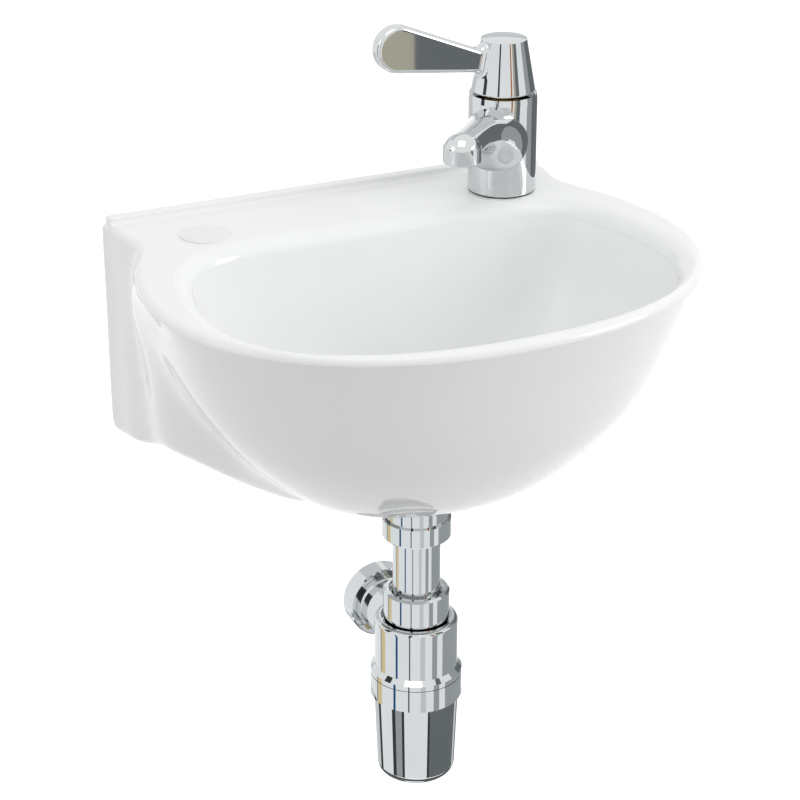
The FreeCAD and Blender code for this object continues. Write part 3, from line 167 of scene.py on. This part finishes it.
# Nitrile rubber, moulded: nearly black, dull, with a fine powdery bloom
MOULDED_RUBBER = Finish("nitrile_rubber_moulded", "#2A2A2B", "#1D1D1E", 1.2, (0.55, 0.75), 0.03, 0.8)
# Nylon, moulded: off-white, waxy and slightly mottled
MOULDED_NYLON = Finish("nylon_moulded", "#E6E2D8", "#D8D3C7", 4.0, (0.35, 0.5), 0.02, 1.5)


def dress(names: list[str], finish: bpy.types.Material) -> None:
    """Give CAD nodes a finish.

    Args:
        names: The nodes.
        finish: The material that all of them take.
    """
    for name in names:
        NODES[name].data.materials.clear()
        NODES[name].data.materials.append(finish)
        log.info("dressed %s in %s", name, finish.name)


@dataclass
class CeramicBasin:
    """The ceramic and the stopper of its spare tap hole."""

    china: Finish = GLAZED_CHINA
    stopper: Finish = MOULDED_ABS
    fixing: Finish = MOULDED_NYLON

    def build(self) -> None:
        """Dress the basin, the stopper and the stopper's washer and nut."""
        dress(["basin"], self.china.material())
        dress(["tap_hole_stopper"], self.stopper.material())
        dress(["stopper_washer", "stopper_nut"], self.fixing.material())


@dataclass
class Fittings:
    """The tap, the waste and the trap."""

    chrome: Finish = CHROME_PLATE
    brass: Finish = TURNED_BRASS
    steel: Finish = TURNED_STEEL
    discs: Finish = LAPPED_ALUMINA
    straightener: Finish = MOULDED_NYLON
    seals: Finish = MOULDED_RUBBER

    def build(self) -> None:
        """Dress every metal, rubber and ceramic piece of the fittings."""
        dress([
            "tap_body", "outlet_ring", "tap_collar_ring", "lever_handle", "handle_cap", "waste_fitting",
            "trap_inlet_nut", "trap_inlet_tube", "trap_body", "trap_top_nut", "trap_outlet_nut",
            "trap_bottle", "trap_collar_ring",
        ], self.chrome.material())
        dress(["tap_backnut", "valve_body", "valve_spindle", "waste_backnut"], self.brass.material())
        dress(["tap_clamp_washer", "handle_screw", "spindle_clip"], self.steel.material())
        dress(["fixed_ceramic_disc", "moving_ceramic_disc"], self.discs.material())
        dress(["flow_straightener"], self.straightener.material())
        dress([
            "tap_foot_seal", "outlet_washer", "valve_seat_seal", "spindle_seals", "waste_upper_seal",
            "waste_lower_seal", "trap_inlet_seal", "trap_top_seal", "trap_outlet_seal", "trap_bottle_seal",
        ], self.seals.material())


@dataclass(frozen=True)
class Flag:
    """A curved screen that stands round the object and shows only in mirrors.

    Headings count in degrees from the camera's side, round by the object's right. Rays that start between
    clear_foot and the top of the china pass through the screen.
    """

    name: str
    band: Band
    tone: Tone
    start: float
    end: float
    away: float = 0.5
    clear_foot: float = -0.0875

    def corners(self, ahead: Vector, aside: Vector,
                middle: Vector) -> tuple[list[Vector], list[tuple[int, ...]]]:
        """Lay out the screen.

        Args:
            ahead: The level direction from the object to the camera.
            aside: The level direction to the object's right, as the camera sees it.
            middle: The upright line that the screen curves round.

        Returns:
            The corners, in pairs of foot and top, and the faces between them.
        """
        foot, top = self.band.value
        steps = max(2, round((self.end - self.start) / FACE_DEGREES))
        spots = []
        for step in range(steps + 1):
            angle = math.radians(self.start + (self.end - self.start) * step / steps)
            spot = middle + (ahead * math.cos(angle) + aside * math.sin(angle)) * self.away
            spots += [spot + Vector((0, 0, foot)), spot + Vector((0, 0, top))]
        return spots, [(2 * i, 2 * i + 1, 2 * i + 3, 2 * i + 2) for i in range(steps)]


@dataclass(frozen=True)
class Lamp:
    """A soft box: where it hangs and its width and height in metres, and its power in watts."""

    name: str
    place: tuple[float, float, float]
    size: tuple[float, float]
    watts: float


@dataclass
class Studio:
    """A pale floor, soft light, grey flags for the chrome to mirror, and the camera."""

    floor_level: float = -0.75
    floor_half: float = 6.0
    floor_lit: str = "#C6C6C6"
    floor_seen: str = "#FAFAFA"
    floor_lift: float = 0.45
    floor_roughness: float = 0.9
    sky_slopes: tuple[float, float] = (-0.4, 1.0)
    sky_levels: tuple[float, float] = (0.65, 0.76)
    lamp_aim: tuple[float, float, float] = (0.0, -0.13, 0.0)
    lamps: tuple[Lamp, ...] = (
        Lamp("key", (1.65, -1.34, 0.81), (1.0, 1.0), 13.0),
        Lamp("side", (-1.71, -0.04, 0.54), (0.8, 1.4), 2.0),
        Lamp("top", (-0.4, -0.7, 2.1), (1.4, 1.4), 6.8),
    )
    camera_place: tuple[float, float, float] = (-0.606589, -1.405404, 0.603333)
    camera_look: tuple[float, float, float] = (0.38805664, 0.82466234, -0.41151436)
    focal_px: float = 2383.0
    frame_px: float = 800.0
    sensor_mm: float = 36.0
    view_depth: float = 50.0
    china_top: float = 0.0755
    flag_glow: float = 1.25
    flag_middle: tuple[float, float, float] = (0.0, -0.1, 0.0)
    flags: tuple[Flag, ...] = (
        Flag("tap_rear_left", Band.TAP, Tone.ASH, -176.0, -135.0),
        Flag("tap_far_left", Band.TAP, Tone.PALE, -135.0, -86.0),
        Flag("tap_left_strip", Band.TAP, Tone.CHARCOAL, -86.0, -70.0),
        Flag("tap_left", Band.TAP, Tone.PALE, -70.0, -17.0),
        Flag("tap_near_strip", Band.TAP, Tone.CHARCOAL, -17.0, -9.0),
        Flag("tap_near", Band.TAP, Tone.PALE, -9.0, 38.0),
        Flag("tap_tan_strip", Band.TAP, Tone.TAN, 38.0, 43.5),
        Flag("tap_near_right", Band.TAP, Tone.PALE, 43.5, 49.0),
        Flag("tap_lever_end", Band.TAP, Tone.STONE, 49.0, 57.0),
        Flag("tap_lever", Band.TAP, Tone.SLATE, 57.0, 70.0),
        Flag("tap_right", Band.TAP, Tone.PALE, 70.0, 96.0),
        Flag("tap_right_grey", Band.TAP, Tone.STEEL, 96.0, 116.0),
        Flag("tap_far_right", Band.TAP, Tone.SLATE, 116.0, 160.0),
        Flag("tap_rear_right", Band.TAP, Tone.ASH, 160.0, 176.0),
        Flag("trap_rear_left", Band.TRAP, Tone.PALE, -176.0, -112.0),
        Flag("trap_left_strip", Band.TRAP, Tone.STEEL, -112.0, -106.0),
        Flag("trap_beige_strip", Band.TRAP, Tone.BEIGE, -106.0, -90.0),
        Flag("trap_left", Band.TRAP, Tone.PALE, -90.0, -53.0),
        Flag("trap_blue_strip", Band.TRAP, Tone.BLUE, -53.0, -47.0),
        Flag("trap_near_left", Band.TRAP, Tone.PALE, -47.0, -16.0),
        Flag("trap_near_strip", Band.TRAP, Tone.CHARCOAL, -16.0, -13.0),
        Flag("trap_near", Band.TRAP, Tone.PALE, -13.0, 12.0),
        Flag("trap_near_grey", Band.TRAP, Tone.ASH, 12.0, 24.0),
        Flag("trap_middle", Band.TRAP, Tone.PALE, 24.0, 42.0),
        Flag("trap_right_strip", Band.TRAP, Tone.STEEL, 42.0, 56.0),
        Flag("trap_near_right", Band.TRAP, Tone.PALE, 56.0, 72.0),
        Flag("trap_right", Band.TRAP, Tone.STEEL, 72.0, 150.0),
        Flag("trap_rear_right", Band.TRAP, Tone.PALE, 150.0, 176.0),
        Flag("bottle_rear_left", Band.BOTTLE, Tone.ASH, -176.0, -125.0),
        Flag("bottle_far_left", Band.BOTTLE, Tone.CHARCOAL, -125.0, -112.0),
        Flag("bottle_left", Band.BOTTLE, Tone.PALE, -112.0, -66.0),
        Flag("bottle_left_strip", Band.BOTTLE, Tone.CHARCOAL, -66.0, -55.0),
        Flag("bottle_near_left", Band.BOTTLE, Tone.STEEL, -55.0, -36.0),
        Flag("bottle_near_strip", Band.BOTTLE, Tone.CHARCOAL, -36.0, -29.0),
        Flag("bottle_near", Band.BOTTLE, Tone.PALE, -29.0, 32.0),
        Flag("bottle_near_right", Band.BOTTLE, Tone.CHARCOAL, 32.0, 38.0),
        Flag("bottle_right", Band.BOTTLE, Tone.SLATE, 38.0, 130.0),
        Flag("bottle_right_strip", Band.BOTTLE, Tone.ASH, 130.0, 145.0),
        Flag("bottle_rear_right", Band.BOTTLE, Tone.SLATE, 145.0, 176.0),
        Flag("ground_ring", Band.GROUND, Tone.CHARCOAL, -180.0, 180.0, 0.2, -0.21),
        Flag("below_ring", Band.BELOW, Tone.SLATE, -180.0, 180.0, 0.1, -0.21),
    )

    def seen(self, tree: bpy.types.NodeTree) -> bpy.types.NodeSocket:
        """Tell camera, mirror and glass rays from the rays that light the object.

        Args:
            tree: The tree that the nodes go into.

        Returns:
            A socket that is one for what is seen and zero for what lights.
        """
        path = add_node(tree, "ShaderNodeLightPath").outputs
        either = add_node(
            tree, "ShaderNodeMath", {"operation": "MAXIMUM"},
            {0: path["Is Camera Ray"], 1: path["Is Glossy Ray"]},
        ).outputs[0]
        return add_node(
            tree, "ShaderNodeMath", {"operation": "MAXIMUM"}, {0: either, 1: path["Is Transmission Ray"]},
        ).outputs[0]

    def light_world(self) -> None:
        """White to the eye; to the object, a soft sky that is brighter overhead."""
        world = bpy.data.worlds.new("studio")
        bpy.context.scene.world = world
        tree = blank_tree(world)
        way = add_node(tree, "ShaderNodeTexCoord").outputs["Generated"]
        height = add_node(tree, "ShaderNodeSeparateXYZ", links={0: way}).outputs["Z"]
        slopes, levels = self.sky_slopes, self.sky_levels
        sky = add_node(
            tree, "ShaderNodeMapRange",
            {"From Min": slopes[0], "From Max": slopes[1], "To Min": levels[0], "To Max": levels[1]},
            {"Value": height},
        ).outputs["Result"]
        level = add_node(
            tree, "ShaderNodeMix", {"data_type": "FLOAT", 3: 1.0}, {0: self.seen(tree), 2: sky},
        ).outputs[0]
        light = add_node(tree, "ShaderNodeBackground", {"Color": linear(WHITE)}, {"Strength": level})
        add_node(tree, "ShaderNodeOutputWorld", links={"Surface": light.outputs[0]})

    def lay_floor(self) -> None:
        """Lay a pale floor well below the object, white to the eye apart from shadows."""
        mesh = bpy.data.meshes.new("floor")
        half = self.floor_half
        corners = [(-half, -half, 0), (half, -half, 0), (half, half, 0), (-half, half, 0)]
        mesh.from_pydata(corners, [], [(0, 1, 2, 3)])
        floor = bpy.data.objects.new("floor", mesh)
        floor.location.z = self.floor_level
        bpy.context.scene.collection.objects.link(floor)
        paint = bpy.data.materials.new("floor_paint")
        tree = blank_tree(paint)
        seen = self.seen(tree)
        colour = add_node(
            tree, "ShaderNodeMix",
            {"data_type": "RGBA", 6: linear(self.floor_lit), 7: linear(self.floor_seen)}, {0: seen},
        ).outputs[2]
        lift = add_node(
            tree, "ShaderNodeMath", {"operation": "MULTIPLY", 1: self.floor_lift}, {0: seen},
        ).outputs[0]
        shader = add_node(
            tree, "ShaderNodeBsdfPrincipled",
            {"Roughness": self.floor_roughness, "Emission Color": linear(WHITE)},
            {"Base Color": colour, "Emission Strength": lift},
        )
        add_node(tree, "ShaderNodeOutputMaterial", links={"Surface": shader.outputs["BSDF"]})
        mesh.materials.append(paint)

    def hang_flag(self, flag: Flag) -> None:
        """Stand one screen that only the chrome mirrors, as rays from the china's height pass through.

        Args:
            flag: The screen.
        """
        look = Vector(self.camera_look)
        ahead = Vector((-look.x, -look.y, 0)).normalized()
        aside = look.cross(Vector((0, 0, 1))).normalized()
        spots, faces = flag.corners(ahead, aside, Vector(self.flag_middle))
        mesh = bpy.data.meshes.new(flag.name)
        mesh.from_pydata(spots, [], faces)
        cloth = bpy.data.materials.new(flag.name)
        tree = blank_tree(cloth)
        spot = add_node(tree, "ShaderNodeNewGeometry").outputs
        reach = add_node(tree, "ShaderNodeLightPath").outputs["Ray Length"]
        start = add_node(
            tree, "ShaderNodeVectorMath", {"operation": "MULTIPLY_ADD"},
            {0: spot["Incoming"], 1: reach, 2: spot["Position"]},
        ).outputs[0]
        height = add_node(tree, "ShaderNodeSeparateXYZ", links={0: start}).outputs["Z"]
        middle, half = (self.china_top + flag.clear_foot) / 2, (self.china_top - flag.clear_foot) / 2
        china = add_node(
            tree, "ShaderNodeMath", {"operation": "COMPARE", 1: middle, 2: half}, {0: height},
        ).outputs[0]
        glow = add_node(
            tree, "ShaderNodeEmission", {"Color": linear(flag.tone.value), "Strength": self.flag_glow},
        )
        clear = add_node(tree, "ShaderNodeBsdfTransparent")
        mixed = add_node(
            tree, "ShaderNodeMixShader", links={0: china, 1: glow.outputs[0], 2: clear.outputs[0]},
        )
        add_node(tree, "ShaderNodeOutputMaterial", links={"Surface": mixed.outputs[0]})
        mesh.materials.append(cloth)
        screen = bpy.data.objects.new(flag.name, mesh)
        screen.visible_camera = False
        screen.visible_diffuse = False
        screen.visible_shadow = False
        bpy.context.scene.collection.objects.link(screen)

    def hang_lamp(self, lamp: Lamp) -> None:
        """Hang one soft box that faces the object.

        Args:
            lamp: The soft box.
        """
        light = bpy.data.lights.new(lamp.name, "AREA")
        light.shape = "RECTANGLE"
        light.size, light.size_y = lamp.size
        light.energy = lamp.watts
        box = bpy.data.objects.new(lamp.name, light)
        box.location = lamp.place
        box.rotation_euler = (Vector(self.lamp_aim) - box.location).to_track_quat("-Z", "Y").to_euler()
        bpy.context.scene.collection.objects.link(box)

    def set_camera(self) -> None:
        """Set the camera where the photograph was taken from."""
        lens = bpy.data.cameras.new("camera")
        lens.sensor_width = self.sensor_mm
        lens.lens = self.focal_px / self.frame_px * lens.sensor_width
        lens.clip_end = self.view_depth
        look = Vector(self.camera_look).normalized()
        right = look.cross(Vector((0, 0, 1))).normalized()
        rise = right.cross(look)
        turn = Matrix((right, rise, -look)).transposed()
        eye = bpy.data.objects.new("camera", lens)
        eye.matrix_world = Matrix.Translation(self.camera_place) @ turn.to_4x4()
        bpy.context.scene.collection.objects.link(eye)
        bpy.context.scene.camera = eye

    def build(self) -> None:
        """Set up the light, the floor, the screens and the camera."""
        bpy.context.scene.view_settings.view_transform = "Standard"
        self.light_world()
        self.lay_floor()
        for lamp in self.lamps:
            self.hang_lamp(lamp)
        for flag in self.flags:
            self.hang_flag(flag)
        self.set_camera()


def main() -> None:
    """Build every sub-assembly and log each one as it is built."""
    logging.basicConfig(level=logging.INFO, format="%(name)s: %(message)s")
    for assembly in (CeramicBasin(), Fittings(), Studio()):
        assembly.build()
        log.info("built %s", type(assembly).__name__)


if __name__ == "__main__":
    main()
